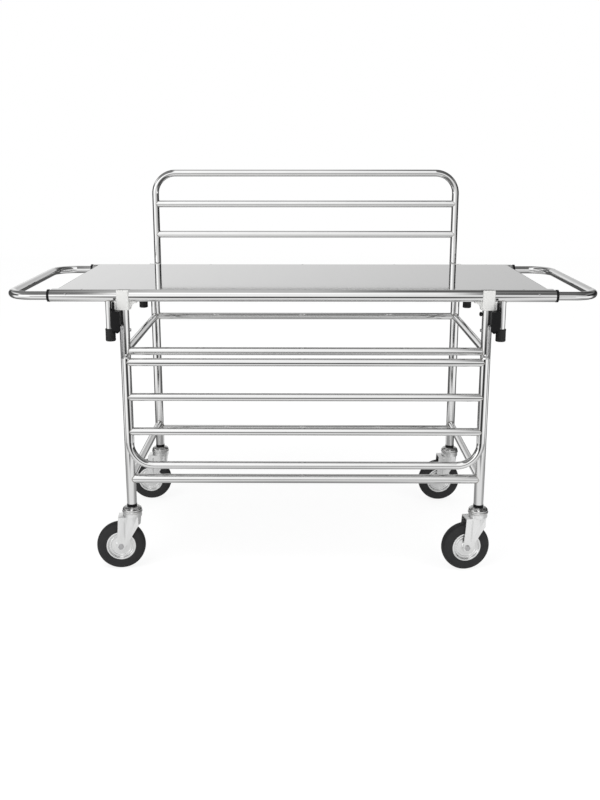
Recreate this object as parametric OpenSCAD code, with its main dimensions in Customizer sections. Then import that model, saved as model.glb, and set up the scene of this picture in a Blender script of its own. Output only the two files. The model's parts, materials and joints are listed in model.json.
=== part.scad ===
// Stretcher trolley: a tubular stainless base on four swivel castors, with a lift-off
// stretcher in white saddles and a side rail on each long side that swings half a turn.
// Frame: +Z up, origin on the floor under the stretcher's centre, near side at -Y.
// At rest the near rail hangs down and the far rail stands up.

/* [Overall] */
// Distance between the leg axes along the trolley
leg_span = 1140; // [1000:5:1300]
// Distance between the leg axes across the trolley
leg_gauge = 660; // [560:5:760]
// How far the base sits off the stretcher's centre
base_shift = 10; // [0:1:20]
// Height of the stretcher tube axis above the floor
tube_height = 911; // [860:1:960]

/* [Base frame] */
// Outer diameter of a leg
leg_d = 32; // [28:1:36]
// Wall of every frame tube
wall = 1.5; // [1:0.1:2]
// Outer diameter of the bars and cross tubes
bar_d = 25; // [20:1:27]
// Outer diameter of the near lower bar
low_bar_d = 30; // [25:1:31]
// How far the upper bars and cross tubes lie below the stretcher tube
upper_drop = 177; // [150:1:240]
// Height of the near lower bar and the lower cross tubes
lower_height = 309; // [280:1:360]
// How far the far lower bar lies below the near one
far_bar_drop = 21; // [0:1:40]

/* [Saddles] */
// Wall of a saddle beyond the leg, along the tube
saddle_end = 3; // [2:0.5:6]
// Wall of a saddle beside the stretcher tube
saddle_wall = 4.7; // [3:0.1:5]
// Play between the stretcher tube and its saddle
saddle_play = 0.3; // [0.2:0.1:1]
// Depth of the socket that takes the leg
socket_depth = 17; // [12:1:18]
// Web between the leg's end and the tube groove
saddle_web = 6.7; // [4:0.1:10]
// How far the inner lip stays below the tube's top
lip_drop = 15; // [10:1:20]
// Reach of the gusset under the tube, towards the trolley's middle
gusset_reach = 23; // [10:1:30]
// Thickness of the gusset at its tip and at its foot
gusset_tip = 3; // [2:0.5:5]
// Length of the outer step
step_l = 5; // [0:1:5]
// Height of the outer step
step_h = 26; // [10:1:28]

/* [Rail hinges] */
// Height of the rail pivot above its block's foot
pivot_rise = 8.5; // [8:0.5:16]
// Diameter of the pivot pin
pivot_d = 8; // [6:0.5:9]
// Radial play of a pin or plunger in its bore
pin_play = 0.05; // [0.02:0.01:0.1]
// Width of a hinge block along the trolley
block_w = 32; // [26:1:34]
// Height of a hinge block
block_h = 60; // [50:1:66]
// How far the block's clamp reaches below its body
clamp_drop = 15; // [10:1:20]
// Distance from the pivot to a hinge block's outer face
block_cover = 15; // [10:1:20]
// Inner edge of a hinge block, beside the leg axis
block_in = 5; // [2:0.5:8]
// Height of the lug beside the saddle
lug_h = 25; // [10:1:30]
// Width of that lug
lug_w = 7; // [4:0.5:7]
// Gap between that lug and the saddle's step
lug_gap = 1; // [0.5:0.5:2]
// Rounding of a hinge block
block_r = 3; // [1:0.5:5]
// Diameter of the clamp bolt
bolt_d = 6; // [5:0.5:8]
// Height of the latch plunger above the pivot
plunger_up = 37; // [30:1:42]
// Diameter of the plunger knob
knob_d = 14; // [10:1:18]
// Travel of the plunger
plunger_travel = 8; // [4:1:10]

/* [Side rails] */
// Distance of a rail post from its leg axis, towards the trolley's middle
post_in = 9; // [6:0.5:12]
// Outer diameter of the rail tube
rail_d = 25; // [20:1:27]
// Distance from the pivot to the rail's outer bar
rail_reach = 449; // [400:1:480]
// Distance between neighbouring rail bars
bar_pitch = 113; // [90:1:120]
// Bend radius of the rail's corners
rail_bend = 76; // [50:1:90]
// Offset of the rail plane outside the pivot while it hangs
rail_offset = 1; // [0:0.5:2]
// Gap between a raised rail and the saddles
rail_gap = 2.3; // [1:0.1:6]
// Thickness of a hinge arm
hinge_arm_t = 4; // [3:0.5:5]
// Width of a hinge arm
hinge_arm_w = 18; // [16:1:20]
// Gap between a hinge arm and its block or the pin's head
hinge_gap = 0.5; // [0.3:0.1:1]

/* [Stretcher] */
// Outer diameter of the side tubes
tube_d = 37; // [34:1:40]
// Length of the stretcher over its end rings
stretcher_l = 1595; // [1400:5:1750]
// Width of an end ring along the tube
ring_w = 8; // [6:0.5:16]
// How far an end ring stands proud of the tube
ring_lip = 1; // [0.5:0.5:3]
// Length of the ring's spigot inside the tube
spigot_l = 30; // [20:1:50]
// Gap along the tubes between the deck sheet and the end rings
sheet_gap = 4.5; // [1:0.5:40]
// Thickness of the deck sheet
sheet_t = 1.2; // [1:0.1:2]
// Bend radius of the deck sheet's rolled ends
roll_r = 25; // [8:1:32]
// Length of the lip below a rolled end
roll_lip = 4; // [2:1:12]
// Number of cross tubes under the deck
cross_count = 5; // [3:1:7]
// Distance of the outermost cross tubes from the stretcher's ends
cross_in = 107.5; // [80:0.5:200]
// Distance of a foot from its leg axis, towards the trolley's end
foot_out = 45; // [42:0.5:60]
// Outer diameter of a foot tube
foot_d = 25; // [20:1:26]
// Diameter of a foot cap
cap_d = 32; // [29:1:32]
// Height of a foot cap
cap_h = 40; // [30:1:46]
// How far the foot caps reach below the tube axis
foot_reach = 144; // [120:1:150]
// Thickness of a foot cap's sole
cap_sole = 8; // [5:1:12]

/* [Handles] */
// Outer diameter of a handle tube
handle_d = 27; // [24:1:30]
// How far a stowed handle stands out of its tube
handle_out = 140.5; // [110:0.5:180]
// Bend radius of a handle's corners
handle_bend = 75; // [50:1:90]
// Length of a handle arm inside the side tube
handle_in = 345; // [280:5:420]
// Radial play of a handle in its end ring
handle_play = 0.1; // [0.05:0.05:0.5]
// Distance of a lock button from the tube's end
button_in = 60.5; // [50:0.5:100]
// Diameter of a lock button
button_d = 8; // [6:0.5:10]
// How far a lock button stands out of the tube
button_out = 3.5; // [2.5:0.5:5]
// Tilt of a lock button above the horizontal
button_tilt = 25; // [0:5:45]

/* [Castors] */
// Diameter of a wheel
wheel_d = 160; // [125:5:200]
// Width of a tyre
tyre_w = 38; // [30:1:40]
// Diameter of the rim under the tyre
rim_d = 97; // [80:1:110]
// Step from a tyre's flank in to the rim's edge
rim_t = 2; // [1.5:0.5:3]
// Diameter of the hub
hub_d = 26; // [20:1:32]
// Diameter of the axle
axle_d = 12; // [8:0.5:12]
// Distance of the axle behind the swivel axis
trail = 40; // [30:1:44]
// Diameter of the domed swivel head
dome_d = 66; // [56:1:72]
// Height of the fork's top face above the wheel
fork_rise = 21; // [14:1:30]
// Height of the domed head and the leg's plug above the fork
head_h = 42; // [36:1:60]
// Thickness of the fork's steel
fork_t = 3; // [2:0.5:4]
// Gap between a tyre and the fork
fork_gap = 3; // [2:0.5:5]
// How far the fork's top reaches behind the axle
fork_back = 6; // [2:1:12]
// Radius of the fork's lower ends
fork_end_r = 13; // [12:1:16]
// Turn of the castors: near left, near right, far left, far right
castor_turn = [6, 10, -2, 4];

/* [Hidden] */
$fn = 64;
eps = 0.01;

leg_r = leg_d / 2;
bar_r = bar_d / 2;
tube_r = tube_d / 2;
rail_r = rail_d / 2;
pin_r = pivot_d / 2;
half_gauge = leg_gauge / 2;
half_span = leg_span / 2;
upper_height = tube_height - upper_drop;

// Corners: side along X, side along Y, turn of the castor there
NEAR_LEFT = [-1, -1, castor_turn[0]];
NEAR_RIGHT = [1, -1, castor_turn[1]];
FAR_LEFT = [-1, 1, castor_turn[2]];
FAR_RIGHT = [1, 1, castor_turn[3]];
CORNERS = [NEAR_LEFT, NEAR_RIGHT, FAR_LEFT, FAR_RIGHT];

// Saddle heights follow the stretcher tube it carries
groove_r = tube_r + saddle_play;
leg_top = tube_height - groove_r - saddle_web;
saddle_foot = leg_top - socket_depth;
saddle_half = tube_r + saddle_wall;
saddle_l = leg_d + 2 * saddle_end;

// Hinge blocks hang below the saddles
block_top = saddle_foot;
block_foot = block_top - block_h;
lug_out = saddle_l / 2 + step_l + lug_gap + lug_w;
pivot_height = block_foot + pivot_rise;
pivot_out = saddle_half + rail_gap + rail_r + rail_offset;
block_out = pivot_out + block_cover;
post_span = leg_span - 2 * post_in;
inner_bar = rail_reach - 3 * bar_pitch;
hinge_arm_x = half_span + block_in - hinge_gap - hinge_arm_t;

// Drawn by its travel, the plunger's nose stops inside the leg
plunger_nose = leg_r + plunger_travel - 2;

// Stretcher
half_stretcher = stretcher_l / 2;
tube_end = half_stretcher - ring_w;
sheet_end = tube_end - sheet_gap;
sheet_under = tube_height + tube_r;
handle_r = handle_d / 2;
handle_end = half_stretcher + handle_out;
button_x = half_stretcher - button_in;
cross_span = stretcher_l - 2 * cross_in;
foot_span = leg_span + 2 * foot_out;
cap_foot = tube_height - foot_reach;

// Castors
wheel_r = wheel_d / 2;
fork_top = wheel_d + fork_rise;
leg_foot = fork_top + head_h;
axle_r = axle_d / 2;
dome_r = dome_d / 2;
fork_inner = tyre_w / 2 + fork_gap;
fork_outer = fork_inner + fork_t;
plug_flange_h = 9;
dome_top = leg_foot - plug_flange_h;
king_r = 6;
plug_r = leg_r - wall;

// Places children at one corner, mirrored so that they are drawn for the near left leg
module at_corner(corner) {
    translate([base_shift, 0, 0])
        mirror([corner[0] > 0 ? 1 : 0, 0, 0])
            mirror([0, corner[1] > 0 ? 1 : 0, 0])
                translate([-half_span, -half_gauge, 0])
                    children();
}

// Places a castor at its leg, turned about the leg's axis
module at_castor(corner) {
    translate([base_shift + corner[0] * half_span, corner[1] * half_gauge, 0])
        rotate([0, 0, corner[2]])
            children();
}

module rod_x(r, x0, x1) {
    translate([x0, 0, 0])
        rotate([0, 90, 0])
            cylinder(r = r, h = x1 - x0);
}

module rod_y(r, y0, y1) {
    translate([0, y0, 0])
        rotate([-90, 0, 0])
            cylinder(r = r, h = y1 - y0);
}

// Ring of square section about Z
module ring(r_out, r_in, h) {
    difference() {
        cylinder(r = r_out, h = h);
        translate([0, 0, -1])
            cylinder(r = r_in, h = h + 2);
    }
}

// Rectangle with round corners, from one corner to the other
module soft_rect(low, high, r) {
    translate([low[0] + r, low[1]])
        square([high[0] - low[0] - 2 * r, high[1] - low[1]]);
    translate([low[0], low[1] + r])
        square([high[0] - low[0], high[1] - low[1] - 2 * r]);
    for (x = [low[0] + r, high[0] - r], y = [low[1] + r, high[1] - r])
        translate([x, y])
            circle(r = r);
}

// Base frame

module leg(corner) {
    color("gainsboro")
        at_corner(corner)
            difference() {
                translate([0, 0, leg_foot])
                    cylinder(r = leg_r, h = leg_top - leg_foot);
                translate([0, 0, leg_foot - 1])
                    cylinder(r = leg_r - wall, h = leg_top - leg_foot + 2);
                translate([0, 0, clamp_bolt_z()])
                    rod_x(bolt_d / 2 + pin_play, -leg_d, leg_d);
                if (corner[0] > 0)
                    translate([0, 0, pivot_height + plunger_up])
                        rod_x(bolt_d / 2 + pin_play, -leg_d, leg_d);
            }
}

function clamp_bolt_z() = block_foot - clamp_drop / 2 + 1;

// The four legs as solid rods, for coping tube ends against them
module leg_cores() {
    for (x = [-half_span, half_span], y = [-half_gauge, half_gauge])
        translate([base_shift + x, y, 0])
            cylinder(r = leg_r, h = tube_height);
}

module long_bar(side, z, r, core = 0) {
    translate([base_shift, side * half_gauge, z])
        rod_x(r - core, -half_span, half_span);
}

module cross_tube(side, z, r, core = 0) {
    translate([base_shift + side * half_span, 0, z])
        rod_y(r - core, -half_gauge, half_gauge);
}

module upper_bars() {
    color("gainsboro")
        for (side = [-1, 1])
            difference() {
                long_bar(side, upper_height, bar_r);
                long_bar(side, upper_height, bar_r, wall);
                leg_cores();
            }
}

module upper_cross_tubes() {
    color("gainsboro")
        for (side = [-1, 1])
            difference() {
                cross_tube(side, upper_height, bar_r);
                cross_tube(side, upper_height, bar_r, wall);
                leg_cores();
                long_bar(-1, upper_height, bar_r);
                long_bar(1, upper_height, bar_r);
            }
}

module lower_bars() {
    color("gainsboro") {
        difference() {
            long_bar(-1, lower_height, low_bar_d / 2);
            long_bar(-1, lower_height, low_bar_d / 2, wall);
            leg_cores();
        }
        difference() {
            long_bar(1, lower_height - far_bar_drop, bar_r);
            long_bar(1, lower_height - far_bar_drop, bar_r, wall);
            leg_cores();
        }
    }
}

module lower_cross_tubes() {
    color("gainsboro")
        for (side = [-1, 1])
            difference() {
                cross_tube(side, lower_height, bar_r);
                cross_tube(side, lower_height, bar_r, wall);
                leg_cores();
                long_bar(-1, lower_height, low_bar_d / 2);
                long_bar(1, lower_height - far_bar_drop, bar_r);
            }
}

// Saddle on a leg: a socket for the leg, a groove for the tube, a gusset under the tube
module saddle(corner) {
    groove_top = tube_height + tube_r + 1;
    color("whitesmoke")
        at_corner(corner)
            difference() {
                union() {
                    translate([0, 0, saddle_foot])
                        linear_extrude(groove_top - saddle_foot)
                            soft_rect([-saddle_l / 2, -saddle_half], [saddle_l / 2, saddle_half], 4);
                    translate([-saddle_l / 2 - step_l, -saddle_half + 2, saddle_foot])
                        cube([step_l + 4, saddle_half + tube_r / 2, step_h]);
                    translate([saddle_l / 2, tube_r / 2, saddle_foot])
                        rotate([90, 0, 0])
                            linear_extrude(tube_r)
                                saddle_gusset(tube_height - groove_r - saddle_foot);
                }
                translate([0, 0, saddle_foot - 1])
                    cylinder(r = leg_r, h = socket_depth + 1);
                translate([0, 0, tube_height])
                    rod_x(groove_r, -leg_d * 2, leg_d * 2);
                translate([-leg_d * 2, -groove_r, tube_height])
                    cube([leg_d * 4, 2 * groove_r, tube_r * 2]);
                translate([-leg_d, groove_r - 1, tube_height + tube_r - lip_drop])
                    cube([leg_d * 2, saddle_half, tube_r * 2]);
            }
}

// Bracket with a hollow curved edge, from the saddle's foot up to the tube's underside
module saddle_gusset(rise) {
    hollow = rise - gusset_tip;
    difference() {
        translate([-1, 0])
            square([gusset_reach + 1, rise + tube_r / 2]);
        translate([gusset_reach, 0])
            scale([(gusset_reach - gusset_tip) / hollow, 1])
                circle(r = hollow);
    }
}

// Hinge block on a leg's outer front quarter, with the pivot pin's bore, a lug beside
// the saddle and a round-ended tail for the clamp bolt
module hinge_block(corner) {
    wide = -block_w;
    step_y = -cap_d / 2 - 1;
    tail_r = (block_narrow() - leg_r + 1) / 2;
    tail_x = -block_narrow() + tail_r;
    color([0.12, 0.12, 0.13])
        at_corner(corner)
            difference() {
                union() {
                    translate([0, 0, block_foot])
                        linear_extrude(block_h)
                            soft_rect([wide, -block_out], [-block_in, step_y], block_r);
                    translate([0, 0, block_foot])
                        linear_extrude(block_h)
                            soft_rect([-block_narrow(), step_y - 2 * block_r], [-block_in, 12], block_r);
                    translate([0, 0, block_foot])
                        linear_extrude(block_h + lug_h)
                            soft_rect([-lug_out, step_y - 2 * lug_w], [lug_w - lug_out, step_y], 2);
                    translate([tail_x, 0, block_foot - clamp_drop + tail_r])
                        rod_y(tail_r, step_y, 10);
                    translate([tail_x - tail_r, step_y, block_foot - clamp_drop + tail_r])
                        cube([2 * tail_r, 10 - step_y, clamp_drop]);
                }
                translate([0, 0, block_foot - clamp_drop - 1])
                    cylinder(r = leg_r, h = block_h + clamp_drop + 2);
                translate([0, -pivot_out, pivot_height])
                    rod_x(pin_r, -block_w + 6, 1);
                translate([0, 0, clamp_bolt_z()])
                    rod_x(bolt_d / 2, -block_w * 2, 1);
                if (corner[0] > 0)
                    translate([0, 0, pivot_height + plunger_up])
                        rod_x(bolt_d / 2 + pin_play, -plunger_nose, 1);
            }
}

// Half width of a block beside the foot caps it has to clear
function block_narrow() = foot_out - cap_d / 2 - 1.5;

// Pivot pins: pressed into the blocks, through the hinge arms, with a low head
module hinge_pins() {
    head_t = 2.5;
    head_x = -block_in + 2 * hinge_gap + hinge_arm_t;
    color("silver")
        for (corner = CORNERS)
            at_corner(corner)
                translate([0, -pivot_out, pivot_height]) {
                    rod_x(pin_r, -block_w + 6, head_x + eps);
                    rod_x(pin_r + 2.5, head_x, head_x + head_t);
                }
}

// Bolts that clamp the blocks to the legs, heads on the inner side
module clamp_bolts() {
    color("silver")
        for (corner = CORNERS)
            at_corner(corner)
                translate([0, 0, clamp_bolt_z()]) {
                    rod_x(bolt_d / 2, -block_narrow(), leg_r + eps);
                    rod_x(bolt_d / 2 + 2, leg_r, leg_r + 4);
                }
}

// Plug in a leg's lower end, with a flange under the tube
module leg_plugs() {
    color([0.1, 0.1, 0.1])
        for (corner = CORNERS)
            at_corner(corner) {
                translate([0, 0, dome_top])
                    ring(leg_r + 0.5, king_r, plug_flange_h);
                translate([0, 0, leg_foot])
                    ring(plug_r, king_r, 36);
            }
}

// Castor head fixed to the leg: threaded stem, domed cover, king pin and nut
module castor_heads() {
    stem_top = leg_foot + 46;
    dome_edge = fork_top + 14;
    nut_h = 6;
    rise = dome_top - dome_edge;
    color("lightgray")
        for (corner = CORNERS)
            at_corner(corner) {
                difference() {
                    rotate_extrude()
                        polygon(concat(
                            [[0, fork_top + 12], [dome_r - 1, fork_top + 12], [dome_r, dome_edge]],
                            [for (a = [0:15:75]) [
                                leg_r + 2 + (dome_r - leg_r - 2) * cos(a),
                                dome_edge + rise * sin(a)
                            ]],
                            [[leg_r + 2, dome_top], [0, dome_top]]
                        ));
                    translate([0, 0, fork_top - 1])
                        cylinder(r = king_r, h = leg_foot);
                }
                translate([0, 0, fork_top - fork_t - nut_h])
                    cylinder(r = king_r, h = stem_top - fork_top + fork_t + nut_h);
                translate([0, 0, fork_top - fork_t - nut_h - 0.3])
                    cylinder(r = king_r + 4, h = nut_h, $fn = 6);
                translate([0, 0, leg_foot + 36.2])
                    cylinder(r = king_r + 4, h = nut_h, $fn = 6);
            }
}

// Side rails, drawn hanging from the pivot at the origin

// Quarter bend of a tube in the XY plane, from +X round to +Y
module tube_bend(bend, r) {
    rotate_extrude(angle = 90)
        translate([bend, 0])
            difference() {
                circle(r = r);
                circle(r = r - wall);
            }
}

// Straight tube along +Z
module tube_run(r, h) {
    linear_extrude(h)
        difference() {
            circle(r = r);
            circle(r = r - wall);
        }
}

// Post ends level with the inner edge of the innermost bar, closed by a disc
rail_start = inner_bar - rail_r;

module rail_hoop() {
    corner_z = -rail_reach + rail_bend;
    corner_x = post_span / 2 - rail_bend;
    translate([0, -rail_offset, 0]) {
        for (side = [0, 1])
            mirror([side, 0, 0]) {
                translate([post_span / 2, 0, corner_z])
                    tube_run(rail_r, -rail_start - wall - corner_z);
                translate([post_span / 2, 0, -rail_start - wall])
                    cylinder(r = rail_r, h = wall);
                translate([corner_x, 0, corner_z])
                    rotate([-90, 0, 0])
                        tube_bend(rail_bend, rail_r);
            }
        translate([-corner_x, 0, -rail_reach])
            rotate([0, 90, 0])
                tube_run(rail_r, 2 * corner_x);
    }
}

// Bars at the given numbers of pitches from the outer bar
module rail_bars(numbers) {
    for (n = numbers)
        difference() {
            translate([0, -rail_offset, n * bar_pitch - rail_reach])
                rod_x(rail_r, -post_span / 2, post_span / 2);
            translate([0, -rail_offset, n * bar_pitch - rail_reach])
                rod_x(rail_r - wall, -post_span / 2, post_span / 2);
            for (side = [-1, 1])
                translate([side * post_span / 2, -rail_offset, -rail_reach])
                    cylinder(r = rail_r, h = rail_reach);
        }
}

module rail_arms() {
    for (side = [-1, 1])
        mirror([side > 0 ? 1 : 0, 0, 0])
            translate([-hinge_arm_x - hinge_arm_t, 0, 0])
                difference() {
                    union() {
                        rod_x(hinge_arm_w / 2, 0, hinge_arm_t);
                        translate([0, -hinge_arm_w / 2, -rail_start])
                            cube([hinge_arm_t, hinge_arm_w, rail_start]);
                    }
                    rod_x(pin_r + pin_play, -1, hinge_arm_t + 1);
                }
}

module near_rail_place() {
    translate([base_shift, -half_gauge - pivot_out, pivot_height])
        children();
}

module far_rail_place() {
    mirror([0, 1, 0])
        near_rail_place()
            rotate([180, 0, 0])
                children();
}

module near_rail_hoop() { color("gainsboro") near_rail_place() rail_hoop(); }
module near_rail_bars() { color("gainsboro") near_rail_place() rail_bars([1, 2, 3]); }
module near_rail_arms() { color("silver") near_rail_place() rail_arms(); }
module far_rail_hoop() { color("gainsboro") far_rail_place() rail_hoop(); }
module far_rail_bars() { color("gainsboro") far_rail_place() rail_bars([1, 2]); }
module far_rail_arms() { color("silver") far_rail_place() rail_arms(); }

// Latch plunger through the right leg: knob on the inner side, shank into the block
module latch_plunger(corner) {
    knob_gap = 1.5;
    color([0.1, 0.1, 0.1])
        at_corner(corner)
            translate([0, 0, pivot_height + plunger_up]) {
                rod_x(bolt_d / 2, 0.5 - plunger_nose, leg_r + knob_gap + eps);
                rod_x(knob_d / 2, leg_r + knob_gap, leg_r + knob_gap + 5);
                rod_x(knob_d / 2 - 2, leg_r + knob_gap + 5 - eps, leg_r + knob_gap + 7);
            }
}

// Stretcher

module side_tube(side) {
    color("gainsboro")
        translate([0, side * half_gauge, tube_height])
            difference() {
                rod_x(tube_r, -tube_end, tube_end);
                rod_x(tube_r - wall, -tube_end - 1, tube_end + 1);
                for (end = [-1, 1])
                    translate([end * button_x, 0, 0])
                        rotate([side * -(90 - button_tilt) , 0, 0])
                            cylinder(r = button_d / 2 + pin_play, h = tube_d);
            }
}

// Flat sheet on the tubes' top lines, its two ends rolled down between the tubes and
// left flat over them
module deck_sheet() {
    flat_half = sheet_end - roll_r;
    inner_half = half_gauge - tube_r - 1;
    color([0.85, 0.86, 0.87]) {
        translate([0, inner_half, sheet_under])
            rotate([90, 0, 0])
                linear_extrude(2 * inner_half) {
                    translate([-flat_half, 0])
                        square([2 * flat_half, sheet_t]);
                    for (end = [0, 1])
                        mirror([end, 0])
                            translate([flat_half, sheet_t - roll_r])
                                rolled_edge();
                }
        for (side = [0, 1])
            mirror([0, side, 0])
                translate([0, inner_half, sheet_under])
                    linear_extrude(sheet_t) {
                        translate([-flat_half, 0])
                            square([2 * flat_half, tube_r + 2]);
                        translate([-sheet_end, 1])
                            square([2 * sheet_end, tube_r + 1]);
                    }
    }
}

module rolled_edge() {
    intersection() {
        difference() {
            circle(r = roll_r);
            circle(r = roll_r - sheet_t);
        }
        square(roll_r);
    }
    translate([roll_r - sheet_t, -roll_lip])
        square([sheet_t, roll_lip]);
}

module deck_cross_tubes() {
    pitch = cross_span / (cross_count - 1);
    color("gainsboro")
        for (n = [0:cross_count - 1])
            difference() {
                translate([n * pitch - cross_span / 2, 0, sheet_under - bar_r])
                    rod_y(bar_r, -half_gauge, half_gauge);
                translate([n * pitch - cross_span / 2, 0, sheet_under - bar_r])
                    rod_y(bar_r - wall, -half_gauge, half_gauge);
                for (side = [-1, 1])
                    translate([0, side * half_gauge, tube_height])
                        rod_x(tube_r, -tube_end, tube_end);
            }
}

module at_feet() {
    for (x = [-foot_span / 2, foot_span / 2], side = [-1, 1])
        translate([base_shift + x, side * half_gauge, 0])
            children();
}

module stretcher_feet() {
    foot = cap_foot + cap_sole;
    color("gainsboro")
        at_feet()
            difference() {
                translate([0, 0, foot])
                    cylinder(r = foot_d / 2, h = tube_height - foot);
                translate([0, 0, foot - 1])
                    cylinder(r = foot_d / 2 - wall, h = tube_height - foot);
                translate([0, 0, tube_height])
                    rod_x(tube_r, -tube_d, tube_d);
            }
}

module foot_caps() {
    chamfer = 2;
    color([0.1, 0.1, 0.1])
        at_feet()
            translate([0, 0, cap_foot])
                rotate_extrude()
                    polygon([
                        [0, 0],
                        [cap_d / 2 - chamfer, 0],
                        [cap_d / 2, chamfer],
                        [cap_d / 2, cap_h - chamfer],
                        [cap_d / 2 - chamfer, cap_h],
                        [foot_d / 2, cap_h],
                        [foot_d / 2, cap_sole],
                        [0, cap_sole]
                    ]);
}

module tube_end_rings() {
    bore = handle_r + handle_play;
    color([0.1, 0.1, 0.1])
        for (side = [-1, 1], end = [0, 1])
            translate([0, side * half_gauge, tube_height])
                mirror([end, 0, 0])
                    rotate([0, 90, 0]) {
                        translate([0, 0, tube_end])
                            ring(tube_r + ring_lip, bore, ring_w);
                        translate([0, 0, tube_end - spigot_l])
                            ring(tube_r - wall, bore, spigot_l);
                    }
}

// Handle loop: two straight arms, two bends and the grip across
module handle(end) {
    corner_x = handle_end - handle_r - handle_bend;
    corner_y = half_gauge - handle_bend;
    arm_l = corner_x - half_stretcher + handle_in;
    color("gainsboro")
        mirror([end > 0 ? 0 : 1, 0, 0])
            translate([corner_x, 0, tube_height]) {
                for (side = [0, 1])
                    mirror([0, side, 0]) {
                        translate([0, half_gauge, 0])
                            rotate([0, -90, 0])
                                tube_run(handle_r, arm_l);
                        translate([0, corner_y, 0])
                            tube_bend(handle_bend, handle_r);
                    }
                translate([handle_bend, -corner_y, 0])
                    rotate([-90, 0, 0])
                        tube_run(handle_r, 2 * corner_y);
            }
}

// Lock button: a round-nosed pin in the side tube's wall, clear of the handle inside
module lock_button(corner) {
    inner = handle_r + 0.4 + 2;
    outer = tube_r + button_out;
    r = button_d / 2;
    color("silver")
        translate([corner[0] * button_x, corner[1] * half_gauge, tube_height])
            rotate([corner[1] * -(90 - button_tilt), 0, 0])
                rotate_extrude()
                    polygon([
                        [0, inner],
                        [r, inner],
                        [r, outer - 1.6],
                        [r * 0.85, outer - 0.6],
                        [r * 0.5, outer],
                        [0, outer]
                    ]);
}

// Castors, drawn about the swivel axis with the wheel trailing towards -X

// Pressed fork: top plate, two side plates and a sloping skirt round the front
module fork(corner) {
    race_r = dome_r - 2;
    front = 24;
    knee = fork_top - 30;
    color([0.85, 0.86, 0.86])
        at_castor(corner)
            difference() {
                union() {
                    translate([0, 0, fork_top - fork_t])
                        linear_extrude(fork_t) {
                            translate([-trail - fork_back, -fork_outer])
                                square([trail + fork_back, 2 * fork_outer]);
                            circle(r = fork_outer + 4);
                        }
                    for (y = [-fork_outer, fork_inner])
                        translate([0, y + fork_t, 0])
                            rotate([90, 0, 0])
                                linear_extrude(fork_t)
                                    fork_side(front, knee);
                    rotate([0, 0, -90])
                        rotate_extrude(angle = 180)
                            polygon([
                                [fork_outer + 4 - fork_t, fork_top - eps],
                                [fork_outer + 4, fork_top - eps],
                                [fork_outer, knee],
                                [fork_outer - fork_t, knee]
                            ]);
                    translate([0, 0, fork_top - eps])
                        ring(race_r, race_r - 6, 11.7);
                }
                translate([0, 0, fork_top - 20])
                    cylinder(r = king_r + pin_play, h = 40);
                translate([-trail, -fork_outer - 1, wheel_r])
                    rod_y(axle_r, 0, 2 * fork_outer + 2);
            }
}

module fork_side(front, knee) {
    lean = atan2(knee - wheel_r, front * 0.8 + trail);
    polygon([
        [-trail - fork_back, fork_top],
        [2, fork_top],
        [2, knee],
        [-trail + fork_end_r * sin(lean) * 1.15, wheel_r - fork_end_r * cos(lean) * 0.75],
        [-trail - fork_end_r, wheel_r]
    ]);
    polygon([
        [0, fork_top],
        [front * 0.8, fork_top],
        [front * 0.8, knee],
        [-trail + fork_end_r * sin(lean), wheel_r - fork_end_r * cos(lean)],
        [-trail, wheel_r]
    ]);
    translate([-trail, wheel_r])
        circle(r = fork_end_r);
}

// Axle bolt with a head, a nut and the two spacers beside the hub
module axle(corner) {
    end = fork_outer + 7;
    color("silver")
        at_castor(corner)
            translate([-trail, 0, wheel_r]) {
                rod_y(axle_r, -fork_outer - eps, end);
                rotate([90, 0, 0])
                    translate([0, 0, fork_outer])
                        cylinder(r = axle_r + 3.5, h = 5, $fn = 6);
                rotate([-90, 0, 0])
                    translate([0, 0, fork_outer])
                        cylinder(r = axle_r + 3.5, h = 5, $fn = 6);
            }
}

// Rim: two dished discs on a hub tube, closed by the tyre seat
module rim(corner) {
    hub_half = fork_inner - 0.3;
    rim_r = rim_d / 2;
    seat_half = tyre_w / 2 - rim_t;
    color([0.88, 0.88, 0.88])
        at_castor(corner)
            translate([-trail, 0, wheel_r])
                rotate([-90, 0, 0])
                    rotate_extrude()
                        polygon([
                            [axle_r + pin_play, -hub_half],
                            [hub_d / 2, -hub_half],
                            [hub_d / 2 + 1, -hub_half + 8],
                            [rim_r - 14, -hub_half + 10],
                            [rim_r - 6, -seat_half],
                            [rim_r, -seat_half],
                            [rim_r, seat_half],
                            [rim_r - 6, seat_half],
                            [rim_r - 14, hub_half - 10],
                            [hub_d / 2 + 1, hub_half - 8],
                            [hub_d / 2, hub_half],
                            [axle_r + pin_play, hub_half]
                        ]);
}

// Tyre: flat seat, upright flanks, round shoulders and a crowned tread
module tyre(corner) {
    rim_r = rim_d / 2;
    half = tyre_w / 2;
    shoulder = 8;
    crown = 1.2;
    color([0.18, 0.18, 0.18])
        at_castor(corner)
            translate([-trail, 0, wheel_r])
                rotate([-90, 0, 0])
                    rotate_extrude($fn = 96)
                        polygon(concat(
                            [[rim_r, -half + rim_t], [rim_r + 3, -half]],
                            [for (a = [-90:15:0]) [
                                wheel_r - crown - shoulder + shoulder * cos(a),
                                shoulder - half + shoulder * sin(a)
                            ]],
                            [for (k = [-2:2]) [
                                wheel_r - crown * k * k / 9,
                                (half - shoulder) * k / 3
                            ]],
                            [for (a = [0:15:90]) [
                                wheel_r - crown - shoulder + shoulder * cos(a),
                                half - shoulder + shoulder * sin(a)
                            ]],
                            [[rim_r + 3, half], [rim_r, half - rim_t]]
                        ));
}

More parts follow.
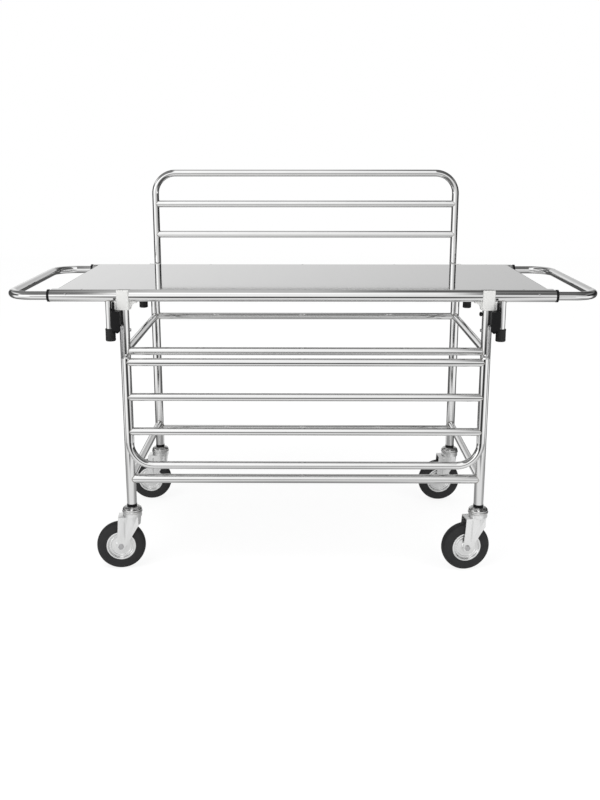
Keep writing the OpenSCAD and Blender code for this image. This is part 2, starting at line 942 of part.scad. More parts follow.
leg(NEAR_LEFT);  // leg_near_left
leg(NEAR_RIGHT);  // leg_near_right
leg(FAR_LEFT);  // leg_far_left
leg(FAR_RIGHT);  // leg_far_right
upper_bars();
upper_cross_tubes();
lower_bars();
lower_cross_tubes();
saddle(NEAR_LEFT);  // saddle_near_left
saddle(NEAR_RIGHT);  // saddle_near_right
saddle(FAR_LEFT);  // saddle_far_left
saddle(FAR_RIGHT);  // saddle_far_right
hinge_block(NEAR_LEFT);  // hinge_block_near_left
hinge_block(NEAR_RIGHT);  // hinge_block_near_right
hinge_block(FAR_LEFT);  // hinge_block_far_left
hinge_block(FAR_RIGHT);  // hinge_block_far_right
hinge_pins();
clamp_bolts();
leg_plugs();
castor_heads();
near_rail_hoop();
near_rail_bars();
near_rail_arms();
far_rail_hoop();
far_rail_bars();
far_rail_arms();
latch_plunger(NEAR_RIGHT);  // latch_plunger_near
latch_plunger(FAR_RIGHT);  // latch_plunger_far
side_tube(-1);  // side_tube_near
side_tube(1);  // side_tube_far
deck_sheet();
deck_cross_tubes();
stretcher_feet();
foot_caps();
tube_end_rings();
handle(0);  // handle_left
handle(1);  // handle_right
lock_button(NEAR_LEFT);  // lock_button_near_left
lock_button(NEAR_RIGHT);  // lock_button_near_right
lock_button(FAR_LEFT);  // lock_button_far_left
lock_button(FAR_RIGHT);  // lock_button_far_right
fork(NEAR_LEFT);  // fork_near_left
fork(NEAR_RIGHT);  // fork_near_right
fork(FAR_LEFT);  // fork_far_left
fork(FAR_RIGHT);  // fork_far_right
axle(NEAR_LEFT);  // axle_near_left
axle(NEAR_RIGHT);  // axle_near_right
axle(FAR_LEFT);  // axle_far_left
axle(FAR_RIGHT);  // axle_far_right
rim(NEAR_LEFT);  // rim_near_left
rim(NEAR_RIGHT);  // rim_near_right
rim(FAR_LEFT);  // rim_far_left
rim(FAR_RIGHT);  // rim_far_right
tyre(NEAR_LEFT);  // tyre_near_left
tyre(NEAR_RIGHT);  // tyre_near_right
tyre(FAR_LEFT);  // tyre_far_left
tyre(FAR_RIGHT);  // tyre_far_right
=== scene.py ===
import json
import math
import bmesh
import bpy
import numpy as np
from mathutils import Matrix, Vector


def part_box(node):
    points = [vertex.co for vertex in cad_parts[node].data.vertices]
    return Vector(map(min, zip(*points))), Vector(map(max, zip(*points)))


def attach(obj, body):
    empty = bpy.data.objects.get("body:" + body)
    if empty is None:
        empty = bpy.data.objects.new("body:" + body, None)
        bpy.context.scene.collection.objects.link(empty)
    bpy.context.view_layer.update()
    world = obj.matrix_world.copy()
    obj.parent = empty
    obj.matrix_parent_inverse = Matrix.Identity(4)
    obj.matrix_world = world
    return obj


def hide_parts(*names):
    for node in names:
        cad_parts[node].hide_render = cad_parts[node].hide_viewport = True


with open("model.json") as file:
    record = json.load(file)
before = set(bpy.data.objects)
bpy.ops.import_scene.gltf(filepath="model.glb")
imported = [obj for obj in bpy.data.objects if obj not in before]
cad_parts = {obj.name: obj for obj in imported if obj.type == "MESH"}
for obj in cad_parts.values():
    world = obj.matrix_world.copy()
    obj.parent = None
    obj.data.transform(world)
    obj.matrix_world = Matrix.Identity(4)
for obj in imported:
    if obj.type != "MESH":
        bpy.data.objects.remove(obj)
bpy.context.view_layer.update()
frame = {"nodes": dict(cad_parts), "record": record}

# Stretcher trolley in polished stainless tube: a base on four castors, a lift-off stretcher and
# two side rails. Metres, +Z up, near side at -Y, the trolley's length along X.


def edges(node):
    """Lowest and highest corners of a CAD node's box, to a tenth of a millimetre."""
    return np.round(np.array(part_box(node)), 4)


def middle(node):
    return edges(node).mean(0)


def half(node):
    """Half the size of a CAD node's box."""
    return (edges(node)[1] - edges(node)[0]) / 2


X, Y, Z = np.eye(3)
CORNERS = {"near_left": (-1, -1), "near_right": (1, -1), "far_left": (-1, 1), "far_right": (1, 1)}

left_leg, right_leg = middle("leg_near_left"), middle("leg_near_right")
SHIFT = (left_leg[0] + right_leg[0]) / 2       # the base's middle, right of the stretcher's
LEG_X = (right_leg[0] - left_leg[0]) / 2
LEG_Y = -left_leg[1]
LEG_R = half("leg_near_left")[0]
BAR_R = half("upper_bars")[2]
LOW_BAR_R = 0.015                              # the near lower bar is the thick one
UPPER_Z = middle("upper_bars")[2]
LOWER_Z = edges("lower_bars")[1][2] - LOW_BAR_R
FAR_LOWER_Z = edges("lower_bars")[0][2] + BAR_R

POST_X = half("near_rail_hoop")[0] - BAR_R
NEAR_POST_Y = middle("near_rail_hoop")[1]
FAR_POST_Y = middle("far_rail_hoop")[1]
NEAR_BARS_Z = np.linspace(*(edges("near_rail_bars")[:, 2] + (BAR_R, -BAR_R)), 3)
FAR_BARS_Z = np.linspace(*(edges("far_rail_bars")[:, 2] + (BAR_R, -BAR_R)), 2)

TUBE_R = half("side_tube_near")[2]
TUBE_Z = middle("side_tube_near")[2]
CROSS_TUBES = 5
CROSS_PITCH = (half("deck_cross_tubes")[0] - BAR_R) * 2 / (CROSS_TUBES - 1)
CROSS_RISE = middle("deck_cross_tubes")[2] - TUBE_Z
CAP_R = 0.016
CAP_Z = edges("foot_caps")[0][2]
FOOT_X = half("foot_caps")[0] - CAP_R


# Materials

class Wire:
    """A shader socket that takes part in arithmetic: every operator adds one Math node."""

    def __init__(self, sheet, socket):
        self.sheet, self.socket = sheet, socket

    def maths(self, operation, first, *others):
        values = dict(enumerate((first,) + others))
        return self.sheet.node("ShaderNodeMath", {"operation": operation}, values)

    def __add__(self, other):
        return self.maths("ADD", self, other)

    def __radd__(self, other):
        return self.maths("ADD", other, self)

    def __sub__(self, other):
        return self.maths("SUBTRACT", self, other)

    def __rsub__(self, other):
        return self.maths("SUBTRACT", other, self)

    def __mul__(self, other):
        return self.maths("MULTIPLY", self, other)

    def __rmul__(self, other):
        return self.maths("MULTIPLY", other, self)

    def __truediv__(self, other):
        return self.maths("DIVIDE", self, other)

    def __pow__(self, other):
        return self.maths("POWER", self, other)

    def __abs__(self):
        return self.maths("ABSOLUTE", self)

    def high(self, other):
        return self.maths("MAXIMUM", self, other)

    def rise(self, start, end):
        """0 below start, 1 above end, smooth between."""
        return self.sheet.node("ShaderNodeMapRange", {"interpolation_type": "SMOOTHSTEP"},
                               {"Value": self, "From Min": start, "From Max": end})


class Sheet:
    """A node tree being filled: node() adds any node by type, settings and socket values."""

    def __init__(self, tree):
        self.tree = tree
        tree.nodes.clear()

    def node(self, kind, settings=None, sockets=None, out=0):
        made = self.tree.nodes.new(kind)
        for name, value in (settings or {}).items():
            if name == "stops":
                self.fill_ramp(made.color_ramp, value)
            else:
                setattr(made, name, value)
        for name, value in (sockets or {}).items():
            if isinstance(value, Wire):
                self.tree.links.new(value.socket, made.inputs[name])
            else:
                made.inputs[name].default_value = value
        return Wire(self, made.outputs[out]) if len(made.outputs) else made

    def fill_ramp(self, ramp, stops):
        """Grey levels of a colour ramp, as (place, level) pairs."""
        while len(ramp.elements) < len(stops):
            ramp.elements.new(0.5)
        for stop, (place, level) in zip(ramp.elements, stops):
            stop.position = place
            stop.color = (level, level, level, 1)

    def place(self):
        """Object coordinates, in metres."""
        return self.node("ShaderNodeTexCoord", out=3)

    def parts(self, vector):
        split = self.node("ShaderNodeSeparateXYZ", sockets={0: vector}).socket.node
        return [Wire(self, split.outputs[k]) for k in range(3)]

    def noise(self, where, scale, detail, rough, stretch=None):
        if stretch:
            where = self.node("ShaderNodeMapping", sockets={"Vector": where, "Scale": stretch})
        return self.node("ShaderNodeTexNoise", sockets={
            "Vector": where, "Scale": scale, "Detail": detail, "Roughness": rough})

    def tint(self, mask, dark, pale):
        """Colour from dark to pale as mask goes from 0 to 1."""
        return self.node("ShaderNodeMix", {"data_type": "RGBA"},
                         {0: mask, 6: (*dark, 1), 7: (*pale, 1)}, out=2)

    def grey(self, level):
        return self.node("ShaderNodeCombineColor", sockets={0: level, 1: level, 2: level})

    def bump(self, height, distance, strength):
        return self.node("ShaderNodeBump", sockets={
            "Height": height, "Distance": distance, "Strength": strength})

    def finish(self, **sockets):
        """Principled shader, its sockets given by their names in small letters."""
        names = {key.replace("_", " ").title().replace("Ior", "IOR"): value
                 for key, value in sockets.items()}
        shader = self.node("ShaderNodeBsdfPrincipled", sockets=names)
        self.node("ShaderNodeOutputMaterial", sockets={"Surface": shader})

    def rays(self):
        """Masks of the rays that come off metal or through glass, and of the camera's own."""
        path = self.node("ShaderNodeLightPath").socket.node
        glossy = Wire(self, path.outputs["Is Glossy Ray"])
        through = Wire(self, path.outputs["Is Transmission Ray"])
        return glossy.high(through), Wire(self, path.outputs["Is Camera Ray"])


def material(fill):
    made = bpy.data.materials.new(fill.__name__)
    made.use_nodes = True
    fill(Sheet(made.node_tree))
    return made


def polished_tube(s):
    """Stainless tube: a mirror with fine polishing grain and faint clouds from handling."""
    where = s.place()
    grain = s.noise(where, 700, 3, 0.6)
    hands = s.noise(where, 7, 3, 0.55)
    s.finish(base_color=s.tint(hands, (0.80, 0.80, 0.80), (0.88, 0.88, 0.875)),
             metallic=1.0, roughness=0.025 + hands * 0.04 + grain * 0.01,
             normal=s.bump(grain, 0.00002, 0.2))


def polished_sheet(s):
    """Deck sheet: long mill streaks and the slow hollows of thin sheet."""
    where = s.place()
    streak = s.noise(where, 60, 2, 0.5, stretch=(1.0, 0.02, 1.0))
    dents = s.noise(where, 3.5, 1, 0.4)
    s.finish(base_color=s.tint(streak, (0.62, 0.62, 0.62), (0.665, 0.665, 0.66)),
             metallic=1.0, roughness=0.05 + streak * 0.03,
             normal=s.bump(dents, 0.0006, 0.15))


def weld_bead(s):
    """Weld metal: bright with patches of straw and grey heat tint."""
    where = s.place()
    heat = s.noise(where, 90, 3, 0.6)
    s.finish(base_color=s.tint(heat, (0.40, 0.38, 0.35), (0.74, 0.73, 0.71)),
             metallic=1.0, roughness=0.20 + heat * 0.15)


def fastener_steel(s):
    """Turned steel with a fine grain."""
    where = s.place()
    grain = s.noise(where, 400, 3, 0.6)
    s.finish(base_color=s.tint(grain, (0.40, 0.40, 0.41), (0.66, 0.66, 0.66)),
             metallic=1.0, roughness=0.14 + grain * 0.1, normal=s.bump(grain, 0.00003, 0.4))


def castor_chrome(s):
    """Plated pressing, bright with small clouds."""
    where = s.place()
    grain = s.noise(where, 90, 3, 0.6)
    s.finish(base_color=s.tint(grain, (0.72, 0.72, 0.72), (0.88, 0.88, 0.87)),
             metallic=1.0, roughness=0.03 + grain * 0.04, normal=s.bump(grain, 0.00006, 0.25))


def zinc_steel(s):
    """Bright zinc plating on pressed steel: pale, half matt, faintly cloudy."""
    where = s.place()
    cloud = s.noise(where, 30, 2, 0.5)
    fine = s.noise(where, 500, 2, 0.5)
    s.finish(base_color=s.tint(cloud, (0.84, 0.845, 0.845), (0.90, 0.90, 0.895)),
             metallic=0.85, roughness=0.17 + cloud * 0.06,
             normal=s.bump(cloud + fine * 0.15, 0.00005, 0.25))


def white_plastic(s):
    """Moulded nylon: off-white, soft gloss, a fine moulding grain."""
    where = s.place()
    grain = s.noise(where, 1500, 2, 0.5)
    cloud = s.noise(where, 20, 2, 0.5)
    s.finish(base_color=s.tint(cloud, (0.66, 0.66, 0.645), (0.71, 0.71, 0.70)),
             roughness=0.34 + cloud * 0.12, normal=s.bump(grain, 0.00004, 0.4))


def black_plastic(s):
    """Moulded black plastic with a satin grain."""
    where = s.place()
    grain = s.noise(where, 1200, 2, 0.5)
    cloud = s.noise(where, 40, 2, 0.5)
    s.finish(base_color=s.tint(cloud, (0.005, 0.005, 0.006), (0.011, 0.011, 0.011)),
             roughness=0.38 + cloud * 0.15, specular_ior_level=0.15,
             normal=s.bump(grain, 0.00006, 0.5))


def black_rubber(s):
    """Foot cap rubber: deep black with a coarse moulded grain."""
    where = s.place()
    grain = s.noise(where, 900, 3, 0.6)
    s.finish(base_color=s.tint(grain, (0.006, 0.006, 0.006), (0.016, 0.016, 0.016)),
             roughness=0.50 + grain * 0.2, normal=s.bump(grain, 0.00008, 0.6))


def tyre_rubber(s):
    """Solid rubber: charcoal with dust in clouds and a fine moulded grain."""
    where = s.place()
    grain = s.noise(where, 600, 4, 0.65)
    cloud = s.noise(where, 14, 3, 0.6)
    s.finish(base_color=s.tint(cloud, (0.010, 0.010, 0.011), (0.024, 0.024, 0.025)),
             roughness=0.50 + grain * 0.2, specular_ior_level=0.4,
             normal=s.bump(grain, 0.0001, 0.5))


FINISHES = {fill.__name__: material(fill) for fill in (
    polished_tube, polished_sheet, weld_bead, fastener_steel, castor_chrome, zinc_steel,
    white_plastic, black_plastic, black_rubber, tyre_rubber)}

for part in frame["record"]["subparts"]:
    mesh = frame["nodes"][part["node"]].data
    mesh.materials.clear()
    mesh.materials.append(FINISHES[part["material_slot"]])


# Mesh pieces

class Shell:
    """Grids of points gathered into one mesh piece."""

    def __init__(self):
        self.points, self.faces, self.count = [], [], 0

    def grid(self, points, ring=True):
        """Quads between neighbouring rows and columns of a (rows, columns, 3) array. Columns
        always close on themselves, and rows do where ring is true."""
        points = np.asarray(points, float)
        rows, cols = points.shape[:2]
        row = np.arange(rows if ring else rows - 1)[:, None]
        col = np.arange(cols)[None, :]
        next_row, next_col = (row + 1) % rows, (col + 1) % cols
        quads = np.stack([row * cols + col, row * cols + next_col,
                          next_row * cols + next_col, next_row * cols + col], -1)
        self.faces.append(quads.reshape(-1, 4) + self.count)
        self.points.append(points.reshape(-1, 3))
        self.count += rows * cols

    def piece(self, name, body, slot, replaces=(), finish=None, crease=50):
        mesh = bpy.data.meshes.new(name)
        mesh.from_pydata(np.concatenate(self.points).tolist(), [], np.concatenate(self.faces).tolist())
        work = bmesh.new()
        work.from_mesh(mesh)
        bmesh.ops.remove_doubles(work, verts=work.verts, dist=2e-6)
        bmesh.ops.recalc_face_normals(work, faces=work.faces)
        work.to_mesh(mesh)
        work.free()
        placed(name, mesh, body, slot, replaces, finish, crease)


def placed(name, mesh, body, slot, replaces, finish, crease):
    """Gives a mesh its finish, smooth shading up to the crease angle, and its body to ride on."""
    mesh.materials.clear()
    mesh.materials.append(FINISHES[finish or slot])
    mesh.polygons.foreach_set("use_smooth", [True] * len(mesh.polygons))
    mesh.set_sharp_from_angle(angle=math.radians(crease))
    made = bpy.data.objects.new(name, mesh)
    bpy.context.scene.collection.objects.link(made)
    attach(made, body)
    if replaces:
        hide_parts(*replaces)
    return made


def eased(node, body, slot, width, segments):
    """A copy of a CAD node with merged points, flat faces joined and its sharp edges rounded."""
    mesh = frame["nodes"][node].data.copy()
    work = bmesh.new()
    work.from_mesh(mesh)
    bmesh.ops.remove_doubles(work, verts=work.verts, dist=1e-6)
    bmesh.ops.dissolve_limit(work, angle_limit=math.radians(1.0), verts=work.verts, edges=work.edges)
    work.to_mesh(mesh)
    work.free()
    made = placed(node + "_eased", mesh, body, slot, [node], None, 32)
    rounding = made.modifiers.new("rounding", "BEVEL")
    rounding.width, rounding.segments = width, segments
    rounding.limit_method, rounding.angle_limit = "ANGLE", math.radians(35)
    rounding.use_clamp_overlap = True


def softened(path, reach, steps):
    """Closed path whose corners become quadratic curves from `reach` before each corner to
    `reach` after it; corners on the axis, at radius 0, stay."""
    path = np.asarray(path, float)
    reach = np.where(path[:, :1] > 1e-6, reach, 0)

    def cut(other):
        gap = other - path
        length = np.linalg.norm(gap, axis=1, keepdims=True).clip(1e-9)
        return path + gap * np.minimum(reach / length, 0.45)

    start, end = cut(np.roll(path, 1, 0)), cut(np.roll(path, -1, 0))
    t = np.linspace(0, 1, steps + 1)[None, :, None]
    curve = start[:, None] * (1 - t) ** 2 + 2 * path[:, None] * t * (1 - t) + end[:, None] * t ** 2
    return curve.reshape(-1, 2)


def turned(profile, steps):
    """Each (radius, height) point of a profile goes once round Z."""
    radius, height = np.asarray(profile, float).T[:, :, None]
    turn = np.linspace(0, 2 * math.pi, steps, endpoint=False)[None, :]
    return np.stack([radius * np.cos(turn), radius * np.sin(turn), height + 0 * turn], -1)


# Weld beads

def bead(on, along, out, main_r, r, off=0.0, width=0.0016, arc=None):
    """Weld bead where a branch tube meets a main tube. The branch's circle of radius r, in the
    main axis direction `along` and the side direction, is carried out of the main axis by
    sqrt(main_r^2 - side^2), and a small circle with two sine ripples follows that curve. The
    slow ripple starts elsewhere at each place along X. An arc's bead thins out at its ends."""
    along, out = np.asarray(along, float), np.asarray(out, float)
    side = np.cross(out, along)
    start, end = arc or (0, 2 * math.pi)
    steps = 128 if arc is None else 96
    turn = np.linspace(start, end, steps, endpoint=arc is not None)[:, None, None]
    reach = off + r * np.sin(turn)
    lift = np.sqrt(np.maximum(main_r ** 2 - reach ** 2, 0))
    centre = np.asarray(on, float) + out * lift + along * (r * np.cos(turn)) + side * reach
    outward = along * np.cos(turn) + side * np.sin(turn)
    taper = 1.0 if arc is None else np.sin(np.linspace(0, math.pi, steps))[:, None, None] ** 0.3
    section = np.linspace(0, 2 * math.pi, 8, endpoint=False)[None, :, None]
    ripple = width * taper * (1 + 0.14 * np.sin(turn * 32) + 0.10 * np.sin(turn * 5 + on[0] * 40))
    return centre + ripple * (outward * np.cos(section) + out * np.sin(section))


def weld_base_and_feet(base, stretcher):
    """Round each leg's four bars, and under the side tubes round the four feet."""
    for sx, sy in CORNERS.values():
        x, y = SHIFT + sx * LEG_X, sy * LEG_Y
        lower_r, lower_z = (LOW_BAR_R, LOWER_Z) if sy < 0 else (BAR_R, FAR_LOWER_Z)
        for r, z, out in ((BAR_R, UPPER_Z, -sx * X), (BAR_R, UPPER_Z, -sy * Y),
                          (lower_r, lower_z, -sx * X), (BAR_R, LOWER_Z, -sy * Y)):
            base.grid(bead((x, y, z), Z, out, LEG_R, r))
        stretcher.grid(bead((SHIFT + sx * FOOT_X, y, TUBE_Z), X, -Z, TUBE_R, BAR_R))


def weld_rails(near_rail, far_rail):
    """At both ends of every inner rail bar. Post and bar are one thickness, so the post counts
    as a little thicker, or the bead would fold at its two sides."""
    post_r = BAR_R + 0.0001
    for side in (-1, 1):
        for rail, y, bars_z in ((near_rail, NEAR_POST_Y, NEAR_BARS_Z), (far_rail, FAR_POST_Y, FAR_BARS_Z)):
            for z in bars_z:
                rail.grid(bead((SHIFT + side * POST_X, y, z), Z, -side * X, post_r, BAR_R, width=0.0012))


def weld_cross_tubes(stretcher):
    """Over the upper half of both ends of every deck cross tube, where it meets the side tube."""
    for side in (-1, 1):
        arc = np.radians((165, 375) if side < 0 else (-15, 195))
        for n in range(CROSS_TUBES):
            on = (CROSS_PITCH * (n - (CROSS_TUBES - 1) / 2), side * LEG_Y, TUBE_Z)
            stretcher.grid(bead(on, X, -side * Y, TUBE_R, BAR_R, off=CROSS_RISE * side, arc=tuple(arc)))


welds = {body: Shell() for body in ("base", "near_rail", "far_rail", "stretcher")}
weld_base_and_feet(welds["base"], welds["stretcher"])
weld_rails(welds["near_rail"], welds["far_rail"])
weld_cross_tubes(welds["stretcher"])
for name, shell in welds.items():
    body = "trolley_frame" if name == "base" else name
    shell.piece(name + "_welds", body, "polished_tube", finish="weld_bead", crease=60)


# Castors: heights and radii in millimetres, about the swivel axis or the axle

WHEEL_R, TRAIL = 80.0, 40.0
CASTOR_TURN = {"near_left": 6, "near_right": 10, "far_left": -2, "far_right": 4}      # degrees

TYRE_FLANK = [
    (48.5, 17.0), (51.5, 18.9), (54.0, 18.3), (56.0, 18.3), (57.2, 19.0), (66.0, 19.0),
    (69.8, 18.7), (70.6, 18.1), (73.0, 17.6), (76.6, 15.6), (78.4, 12.2), (78.75, 11.2),
    (77.9, 10.8), (77.9, 10.2), (79.1, 9.8), (79.7, 5.0), (WHEEL_R, 1.5)]
RIM_SIDE = [
    (6.06, 21.6), (9.4, 21.6), (10.2, 20.6), (12.6, 20.2), (13.4, 18.0), (14.6, 14.4),
    (18.0, 12.6), (30.0, 11.8), (32.2, 12.1), (33.6, 13.3), (35.4, 13.4), (36.8, 12.4),
    (38.4, 12.4), (40.6, 13.8), (42.4, 16.2), (44.0, 17.5), (46.4, 17.7), (48.4, 17.0)]
PIN_R, PIN_FOOT, PIN_TOP = 6, 172, 269
DOME = [
    (PIN_R, PIN_FOOT), (PIN_R, 178), (PIN_R, 193), (30.5, 193), (32.2, 193.6), (33, 195),
    (33, 198.6), (32.2, 200.0), (30.9, 200.4), (30.7, 201.6), (31.6, 202.2), (31.4, 204.6),
    (29.6, 208.2), (26.4, 211.2), (22.6, 213.0), (20.8, 213.2), (20.4, 214), (PIN_R, 214),
    (PIN_R, PIN_TOP), (0, PIN_TOP), (0, PIN_FOOT)]
NUT_FEET = (172.2, 259.2)
NUT_BORE, NUT_R, NUT_HEIGHT, NUT_CHAMFER = 6.02, 10, 6, 0.8


def mirrored(side):
    """A closed ring profile from one half: the half and its mirror image about height 0."""
    side = np.asarray(side, float)
    return np.concatenate([side, side[::-1] * (1, -1)])


def at_castor(points, corner):
    """Millimetre points about a swivel axis, turned with the castor and moved to its leg."""
    points = np.asarray(points) / 1000
    turn = math.radians(CASTOR_TURN[corner])
    spin = np.array([[math.cos(turn), math.sin(turn), 0], [-math.sin(turn), math.cos(turn), 0], [0, 0, 1]])
    sx, sy = CORNERS[corner]
    return points @ spin + (SHIFT + sx * LEG_X, sy * LEG_Y, 0)


def on_axle(points):
    """Points turned about Z laid over so that they turn about the axle, along Y."""
    return points[..., [0, 2, 1]] + (-TRAIL, 0, WHEEL_R)


def nut(foot):
    """Hexagon nut: a ring with chamfered rims, turned in six steps."""
    head, rim = foot + NUT_HEIGHT, NUT_R - NUT_CHAMFER
    ring = [(NUT_BORE, foot), (rim, foot), (NUT_R, foot + NUT_CHAMFER),
            (NUT_R, head - NUT_CHAMFER), (rim, head), (NUT_BORE, head)]
    return turned(softened(ring, 0.2, 1), 6)


def fork_rib(side):
    """Stiffening rib pressed into a fork's side plate: a raised-cosine section carried down a
    straight line from the top to the axle, rising and fading at both ends as a sine does."""
    top, length, half_width, height, plate_y = 176, 74, 3.0, 1.9, 24.9
    along = np.linspace(0, 1, 40)[:, None]
    across = np.linspace(-1, 1, 13)[None, :]
    rise = height * np.cos(across * math.pi / 2) ** 2 * np.sin(along * math.pi).clip(0) ** 0.35
    x = -26 - 2 * along + half_width * across
    z = top - length * along + 0 * across
    front = np.stack([x, side * (plate_y + rise), z], -1)
    back = np.stack([x, side * (plate_y + 0 * rise), z], -1)
    return np.concatenate([front, back[:, ::-1]], 1)


heads = Shell()
for corner in CORNERS:
    tyre, rim = Shell(), Shell()
    tyre.grid(at_castor(on_axle(turned(softened(mirrored(TYRE_FLANK), 0.5, 3), 120)), corner))
    tyre.piece("tyre_" + corner + "_moulded", "wheel_" + corner, "tyre_rubber", ["tyre_" + corner])
    rim.grid(at_castor(on_axle(turned(softened(mirrored(RIM_SIDE), 0.7, 3), 96)), corner))
    rim.piece("rim_" + corner + "_pressed", "wheel_" + corner, "zinc_steel", ["rim_" + corner])
    heads.grid(at_castor(turned(softened(DOME, 0.6, 4), 96), corner))
    for foot in NUT_FEET:
        heads.grid(at_castor(nut(foot), corner))
heads.piece("castor_domes", "trolley_frame", "castor_chrome", ["castor_heads"])

for corner in CORNERS:
    ribs = Shell()
    for side in (-1, 1):
        ribs.grid(at_castor(fork_rib(side), corner), ring=False)
    ribs.piece("fork_ribs_" + corner, "castor_" + corner, "zinc_steel", crease=60)
    eased("saddle_" + corner, "trolley_frame", "white_plastic", 0.0012, 3)
    eased("hinge_block_" + corner, "trolley_frame", "black_plastic", 0.0010, 2)
    eased("fork_" + corner, "castor_" + corner, "zinc_steel", 0.0006, 2)
    eased("axle_" + corner, "castor_" + corner, "fastener_steel", 0.0005, 2)
eased("tube_end_rings", "stretcher", "black_plastic", 0.0008, 2)
eased("near_rail_arms", "near_rail", "fastener_steel", 0.0005, 2)
eased("far_rail_arms", "far_rail", "fastener_steel", 0.0005, 2)

# Foot caps, in millimetres: pressed over the foot tubes, with a bead at the mouth and two grip
# lines near the floor end

CAP = [
    (0, 0), (13.6, 0), (15.4, 1.2), (16, 3), (16, 9), (15.5, 9.6), (15.5, 10.6), (16, 11.2),
    (16, 13.2), (15.5, 13.8), (15.5, 14.8), (15.9, 15.4), (15.6, 33.5), (15.7, 34.5), (16, 35.2),
    (16, 38.6), (15, 40), (12.52, 40), (12.52, 8), (0, 8)]
caps = Shell()
for sx, sy in CORNERS.values():
    caps.grid(turned(softened(CAP, 0.4, 3), 64) / 1000 + (SHIFT + sx * FOOT_X, sy * LEG_Y, CAP_Z))
caps.piece("foot_caps_moulded", "stretcher", "black_rubber", ["foot_caps"])


# Studio

def studio_levels(s, vector):
    """Brightness that polished metal sees in each direction. `turn` goes from 0 at the front
    horizon over the top to 1 at the back one: a bright bank of lamps in front, which ends a
    little way to either side, a dark ceiling with a glow left of its middle, and a pale back
    wall between dark drapes. All of it falls slowly from left to right."""
    x, y, z = s.parts(vector)
    turn = s.node("ShaderNodeMath", {"operation": "ARCTAN2"}, {0: z, 1: 0 - y}) / math.pi
    rows = s.node("ShaderNodeValToRGB", {"stops": [
        (0.00, 0.56), (0.03, 0.70), (0.08, 0.74), (0.145, 0.52), (0.20, 0.76), (0.34, 0.80),
        (0.43, 0.42), (0.50, 0.16), (0.60, 0.05), (0.76, 0.07), (0.87, 0.30), (0.955, 0.51)]},
        {0: turn}) * 1.5
    ceiling = turn.rise(0.45, 0.52) * (1 - turn.rise(0.78, 0.88))
    glow = (1 - abs(x + 0.07).rise(0.06, 0.20)) * ceiling
    bank_end = turn.rise(0.12, 0.17) * (1 - turn.rise(0.42, 0.50)) * abs(x + 0.015).rise(0.15, 0.21)
    aside = abs(x).rise(0.72, 0.95)
    level = (rows * (1 - bank_end * 0.85) + glow * 0.42) * (1 - aside) + 0.80 * aside
    drapes = y.rise(-0.50, -0.28) * (1 - y.rise(0.82, 0.94)) * (1 - abs(z).rise(0.25, 0.45))
    low_back = y.rise(0.10, 0.40) * (1 - z.rise(-0.04, 0.04))
    return level * (1 - x * 0.65) * (1 - drapes.high(low_back) * 0.93)


def floor_levels(s, x, y):
    """What polished metal sees of the floor, by place: shaded under the trolley, pale round it
    and to the sides, grey off both ends, and dark in a band in front and behind."""
    far = (x * x + y * y) ** 0.5
    front = (0 - y) / far
    under = far.rise(0.3, 1.0)
    sides = (abs(x) / far).rise(0.45, 0.75) * far.rise(1.6, 2.6)
    ends = (abs(x) / far).rise(0.75, 0.95) * far.rise(0.75, 1.1) * (1 - far.rise(1.6, 2.4))
    band = far.rise(1.3, 1.75) * (1 - far.rise(3.8, 6.5) * 0.8) * front.rise(0.82, 0.95)
    behind = far.rise(0.8, 1.3) * (0 - front).rise(-0.10, 0.25)
    level = 0.30 + under * 0.55
    level = level * (1 - sides) + 1.05 * sides
    level = level * (1 - ends) + 0.42 * ends
    level = level * (1 - band) + 0.05 * band
    return level * (1 - behind) + 0.10 * behind


def studio_world(s):
    """White to the camera, plain light for every diffuse surface, studio_levels for mirrors."""
    off_metal, from_camera = s.rays()
    level = studio_levels(s, s.node("ShaderNodeTexCoord", out=0)) * off_metal + 0.80 * (1 - off_metal)
    level = level * (1 - from_camera) + from_camera
    sky = s.node("ShaderNodeBackground", sockets={"Color": s.grey(level), "Strength": 1.0})
    s.node("ShaderNodeOutputWorld", sockets={"Surface": sky})


def floor_paper(s):
    """White paper that keeps the trolley's shadow; polished metal sees floor_levels on it."""
    x, y, _ = s.parts(s.place())
    off_metal, from_camera = s.rays()
    paper = s.node("ShaderNodeBsdfDiffuse", sockets={"Color": (0.9, 0.9, 0.9, 1)})
    white = s.node("ShaderNodeEmission", sockets={"Color": (1, 1, 1, 1), "Strength": 1.06})
    seen = s.node("ShaderNodeEmission", sockets={
        "Color": s.grey(floor_levels(s, x, y)), "Strength": 1.0})
    shaded = s.node("ShaderNodeMixShader", sockets={0: from_camera * 0.80, 1: paper, 2: white})
    both = s.node("ShaderNodeMixShader", sockets={0: off_metal, 1: shaded, 2: seen})
    s.node("ShaderNodeOutputMaterial", sockets={"Surface": both})


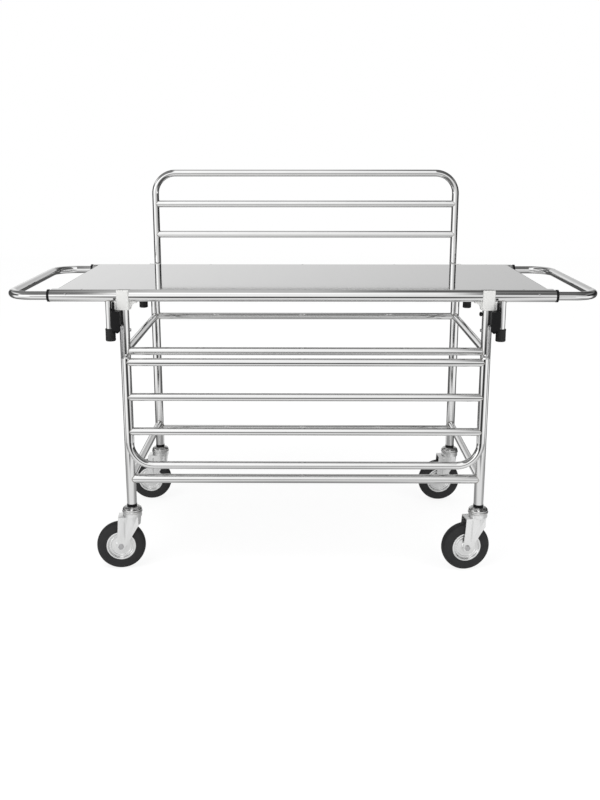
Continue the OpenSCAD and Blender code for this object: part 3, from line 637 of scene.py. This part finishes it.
def lamp(name, place, target, size, power):
    """Round lamp aimed at a point, unseen in mirrors."""
    data = bpy.data.lights.new(name, "AREA")
    data.shape, data.size, data.energy = "DISK", size, power
    made = bpy.data.objects.new(name, data)
    made.location = place
    aim = np.array(target, float) - np.array(place, float)
    made.rotation_euler = (math.atan2(math.hypot(aim[0], aim[1]), -aim[2]), 0, math.atan2(-aim[0], aim[1]))
    made.visible_glossy = False
    bpy.context.scene.collection.objects.link(made)


world = bpy.data.worlds.new("studio")
world.use_nodes = True
studio_world(Sheet(world.node_tree))
bpy.context.scene.world = world

FLOOR_HALF = 9.0
floor_mesh = bpy.data.meshes.new("floor")
floor_mesh.from_pydata([(-FLOOR_HALF, -FLOOR_HALF, 0), (FLOOR_HALF, -FLOOR_HALF, 0),
                        (FLOOR_HALF, FLOOR_HALF, 0), (-FLOOR_HALF, FLOOR_HALF, 0)], [], [(0, 1, 2, 3)])
floor_mesh.materials.append(material(floor_paper))
floor = bpy.data.objects.new("floor", floor_mesh)
bpy.context.scene.collection.objects.link(floor)

TROLLEY_MIDDLE = (0, 0, 0.6)
lamp("key", (-1.6, -2.0, 3.6), TROLLEY_MIDDLE, 2.6, 70)
lamp("fill", (2.6, -1.6, 2.6), TROLLEY_MIDDLE, 2.4, 30)

# The camera's focal length and shifts, in pixels of the 600 x 800 frame
FRAME_HEIGHT = 800
FOCAL, SHIFT_RIGHT, SHIFT_UP = 986.5, 3.6, -10.5
SENSOR = 36.0
DOWN, TURN = 0.2442, 0.0073                    # radians
lens = bpy.data.cameras.new("camera")
lens.sensor_width = SENSOR
lens.lens = FOCAL / FRAME_HEIGHT * SENSOR
lens.shift_x, lens.shift_y = SHIFT_RIGHT / FRAME_HEIGHT, SHIFT_UP / FRAME_HEIGHT
lens.clip_end = 60
camera = bpy.data.objects.new("camera", lens)
camera.location = (0.004, -3.391, 1.372)
camera.rotation_euler = (math.pi / 2 - DOWN, 0, TURN)
bpy.context.scene.collection.objects.link(camera)
bpy.context.scene.camera = camera
bpy.context.scene.view_settings.view_transform = "Standard"
